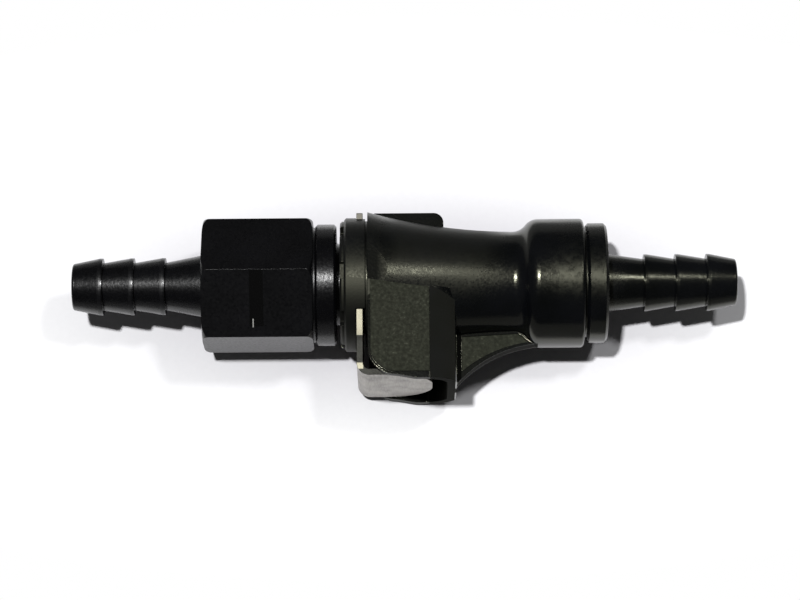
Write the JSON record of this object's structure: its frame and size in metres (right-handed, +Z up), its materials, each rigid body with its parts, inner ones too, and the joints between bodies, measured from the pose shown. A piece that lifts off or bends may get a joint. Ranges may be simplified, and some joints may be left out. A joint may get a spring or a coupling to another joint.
{
  "type": "quick disconnect coupling",
  "caption": "In-line plastic quick disconnect coupling, joined: a hex insert and a thumb-latch body with flush shut-off valves and hose barbs at both ends.",
  "frame": {"origin": "on the flow axis at the mouth of the insert half's hose barb bore", "axes": "+X along the flow axis from the insert barb to the body barb, +Z up from the side flats it lies on, thumb pad on the -Y side"},
  "size_m": [0.0872, 0.0239, 0.0184],
  "materials": {
    "hex_plastic": "satin near-black moulded plastic",
    "body_plastic": "satin black glass-filled plastic",
    "valve_plastic": "plain dark grey moulded plastic",
    "seal_rubber": "black rubber",
    "latch_steel": "dull stamped stainless steel",
    "spring_steel": "drawn stainless wire"
  },
  "bodies": {
    "body_half": {"body_shell": "body_plastic", "valve_stem": "valve_plastic", "stem_seal": "seal_rubber", "body_barb": "body_plastic", "cap_seal": "seal_rubber", "latch_spring": "spring_steel", "sleeve_spring": "spring_steel"},
    "latch": {"thumb_latch": "latch_steel"},
    "insert_half": {"insert_barb": "hex_plastic", "insert_nose": "hex_plastic", "insert_joint_seal": "seal_rubber", "insert_nose_seal": "seal_rubber", "insert_guide": "valve_plastic", "insert_spring": "spring_steel"},
    "poppet": {"insert_poppet": "valve_plastic", "insert_poppet_seal": "seal_rubber"},
    "sleeve": {"valve_sleeve": "valve_plastic", "sleeve_seal": "seal_rubber"}
  },
  "joints": [
    {"name": "thumb_press", "type": "slide", "parent": "body_half", "child": "latch", "axis": [0, 1, 0], "range_m": [0, 0.0012], "stiffness_N_per_m": 2000, "springref_m": -0.003, "deforming": ["latch_spring"]},
    {"name": "insert_swivel", "type": "hinge", "parent": "body_half", "child": "insert_half", "pos_m": [0.042, 0, 0], "axis": [1, 0, 0], "continuous": true},
    {"name": "poppet_slide", "type": "slide", "parent": "insert_half", "child": "poppet", "axis": [-1, 0, 0], "range_m": [0, 0.0008], "stiffness_N_per_m": 500, "springref_m": -0.008, "deforming": ["insert_spring"]},
    {"name": "sleeve_slide", "type": "slide", "parent": "body_half", "child": "sleeve", "axis": [1, 0, 0], "range_m": [0, 0.0008], "stiffness_N_per_m": 800, "springref_m": -0.006, "deforming": ["sleeve_spring"]}
  ]
}
